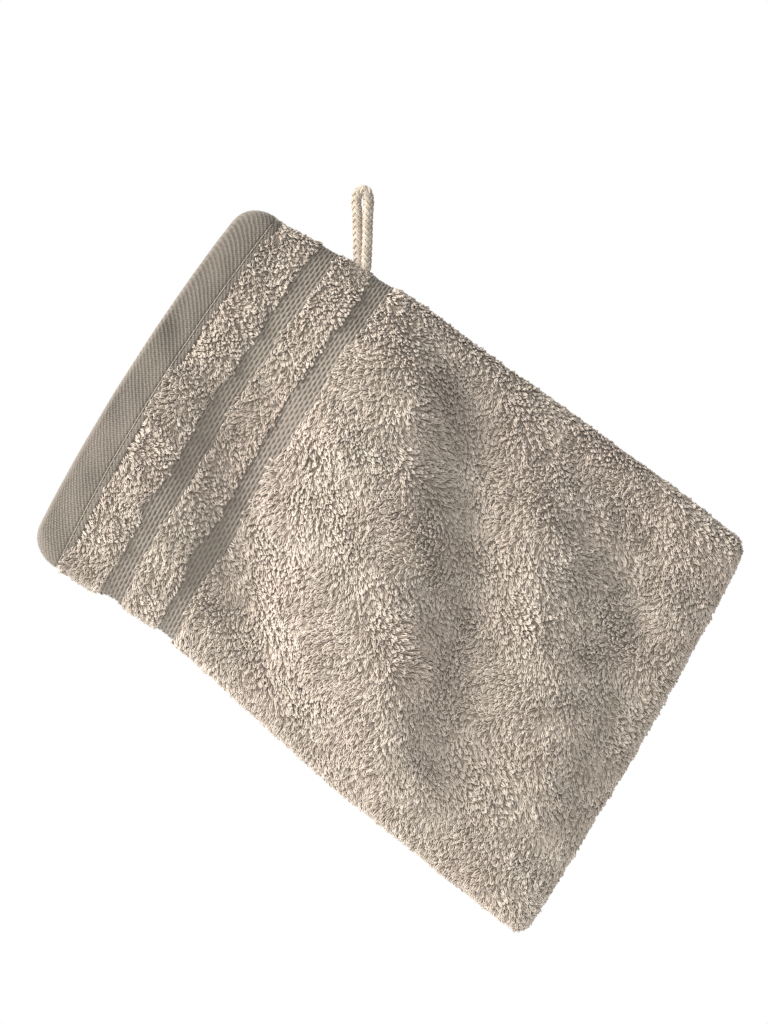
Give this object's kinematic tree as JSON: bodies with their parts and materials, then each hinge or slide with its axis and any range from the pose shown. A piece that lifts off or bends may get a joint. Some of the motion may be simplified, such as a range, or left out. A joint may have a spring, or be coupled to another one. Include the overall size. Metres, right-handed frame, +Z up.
{
  "type": "wash mitt",
  "caption": "Rectangular terry cloth wash mitt with a hemmed open cuff, flat woven stripes and a braided cord loop that it hangs by.",
  "frame": {"origin": "the point where a nail or hook carries the hanging loop", "axes": "+Z up as it hangs; the front faces -Y and the flat back faces +Y; +X runs from the cuff side towards the tip side"},
  "size_m": [0.2458, 0.0222, 0.2619],
  "materials": {
    "terry_front": "matte",
    "terry_back": "matte",
    "cord_yarn": "matte",
    "sewing_thread": "matte"
  },
  "bodies": {
    "loop": {"hanging_loop": "cord_yarn"},
    "loop_root": {"loop_tack_thread": "sewing_thread"},
    "mitt": {"front_panel": "terry_front", "back_panel": "terry_back", "loop_sewn_end_left": "cord_yarn", "loop_sewn_end_right": "cord_yarn", "front_hem_needle_thread": "sewing_thread", "front_hem_bobbin_thread": "sewing_thread", "back_hem_needle_thread": "sewing_thread", "back_hem_bobbin_thread": "sewing_thread", "upper_side_seam_needle_thread": "sewing_thread", "upper_side_seam_upper_looper_thread": "sewing_thread", "upper_side_seam_lower_looper_thread": "sewing_thread", "lower_side_seam_needle_thread": "sewing_thread", "lower_side_seam_upper_looper_thread": "sewing_thread", "lower_side_seam_lower_looper_thread": "sewing_thread", "tip_seam_needle_thread": "sewing_thread", "tip_seam_upper_looper_thread": "sewing_thread", "tip_seam_lower_looper_thread": "sewing_thread"}
  },
  "joints": [
    {"name": "mitt_swing", "type": "hinge", "parent": "loop", "child": "loop_root", "pos_m": [0, 0, -0.027], "axis": [0, 1, 0], "range_deg": [-70, 12]},
    {"name": "mitt_fold", "type": "hinge", "parent": "loop_root", "child": "mitt", "pos_m": [0, 0, -0.027], "axis": [0.8251, 0, -0.565], "range_deg": [-45, 45]}
  ]
}
